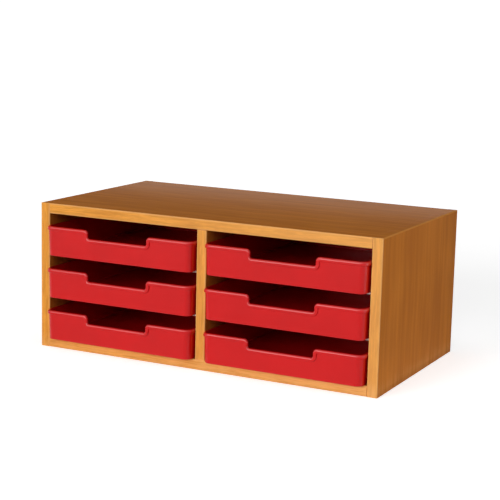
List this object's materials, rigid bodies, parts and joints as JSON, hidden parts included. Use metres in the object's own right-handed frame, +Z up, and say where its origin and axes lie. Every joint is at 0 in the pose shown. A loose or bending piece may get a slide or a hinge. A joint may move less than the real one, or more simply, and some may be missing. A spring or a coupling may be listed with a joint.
{
  "type": "classroom mail center",
  "caption": "Table-top beech board unit with columns of shallow red slide-in trays, each with a hand notch in its front, for sorting class mail and papers.",
  "frame": {"origin": "centre of the carcass underside", "axes": "+X to the right seen from the front, +Y to the back, +Z up; the trays face -Y"},
  "size_m": [0.64, 0.37, 0.2565],
  "materials": {
    "beech_board": "satin melamine, beech print",
    "beech_sheet": "satin, beech print",
    "beech_edging": "satin, pale beech print",
    "pale_sheet": "satin, off-white",
    "red_moulding": "semi-gloss, moulded",
    "dowel_wood": "raw fluted beech"
  },
  "bodies": {
    "carcass": {"left_side_panel": "beech_board", "right_side_panel": "beech_board", "top_panel": "beech_board", "base_panel": "beech_board", "centre_divider": "beech_board", "back_panel": "beech_sheet", "left_side_front_edging": "beech_edging", "right_side_front_edging": "beech_edging", "top_front_edging": "beech_edging", "base_front_edging": "beech_edging", "divider_front_edging": "beech_edging", "left_side_top_edging": "beech_edging", "right_side_top_edging": "beech_edging", "left_side_rear_edging": "beech_edging", "right_side_rear_edging": "beech_edging", "top_rear_edging": "beech_edging", "base_rear_edging": "beech_edging", "base_left_dowels": "dowel_wood", "base_right_dowels": "dowel_wood", "top_left_dowels": "dowel_wood", "top_right_dowels": "dowel_wood", "divider_base_dowels": "dowel_wood", "divider_top_dowels": "dowel_wood", "shelf_left_middle": "pale_sheet", "shelf_left_top": "pale_sheet", "shelf_right_middle": "pale_sheet", "shelf_right_top": "pale_sheet"},
    "tray_left_bottom": {"tray_left_bottom": "red_moulding"},
    "tray_left_middle": {"tray_left_middle": "red_moulding"},
    "tray_left_top": {"tray_left_top": "red_moulding"},
    "tray_right_bottom": {"tray_right_bottom": "red_moulding"},
    "tray_right_middle": {"tray_right_middle": "red_moulding"},
    "tray_right_top": {"tray_right_top": "red_moulding"}
  },
  "joints": [
    {"name": "tray_left_bottom_slide", "type": "slide", "parent": "carcass", "child": "tray_left_bottom", "axis": [0, -1, 0], "range_m": [0, 0.3]},
    {"name": "tray_left_middle_slide", "type": "slide", "parent": "carcass", "child": "tray_left_middle", "axis": [0, -1, 0], "range_m": [0, 0.3]},
    {"name": "tray_left_top_slide", "type": "slide", "parent": "carcass", "child": "tray_left_top", "axis": [0, -1, 0], "range_m": [0, 0.3]},
    {"name": "tray_right_bottom_slide", "type": "slide", "parent": "carcass", "child": "tray_right_bottom", "axis": [0, -1, 0], "range_m": [0, 0.3]},
    {"name": "tray_right_middle_slide", "type": "slide", "parent": "carcass", "child": "tray_right_middle", "axis": [0, -1, 0], "range_m": [0, 0.3]},
    {"name": "tray_right_top_slide", "type": "slide", "parent": "carcass", "child": "tray_right_top", "axis": [0, -1, 0], "range_m": [0, 0.3]}
  ]
}
